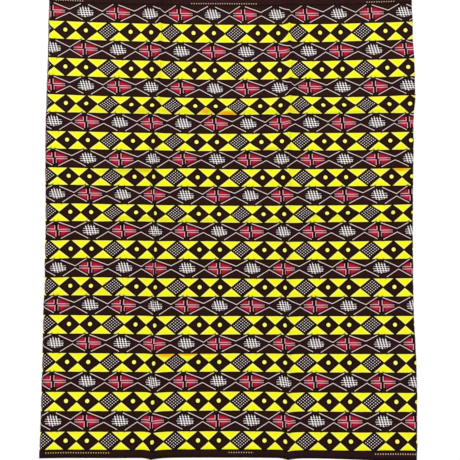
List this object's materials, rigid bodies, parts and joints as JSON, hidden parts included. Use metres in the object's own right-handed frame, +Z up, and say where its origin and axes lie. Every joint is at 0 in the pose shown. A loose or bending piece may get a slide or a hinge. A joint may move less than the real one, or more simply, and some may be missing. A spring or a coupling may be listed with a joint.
{
  "type": "ankara fabric length",
  "caption": "Uncut length of wax-printed cotton cloth, laid out flat with selvedges along two sides, cut ends and standing fold ridges.",
  "frame": {"origin": "middle of the cloth's outline, on the surface that it lies on", "axes": "+Y across the cloth from the lower selvedge to the upper one, +X along the selvedges towards the right cut end, +Z up out of the printed face"},
  "size_m": [0.9116, 1.139, 0.0105],
  "materials": {
    "printed_cotton": "wax-printed plain-weave cotton, dark brown ground with yellow, red and white, softly calendered"
  },
  "bodies": {
    "root": {"cloth": "printed_cotton"}
  },
  "joints": []
}
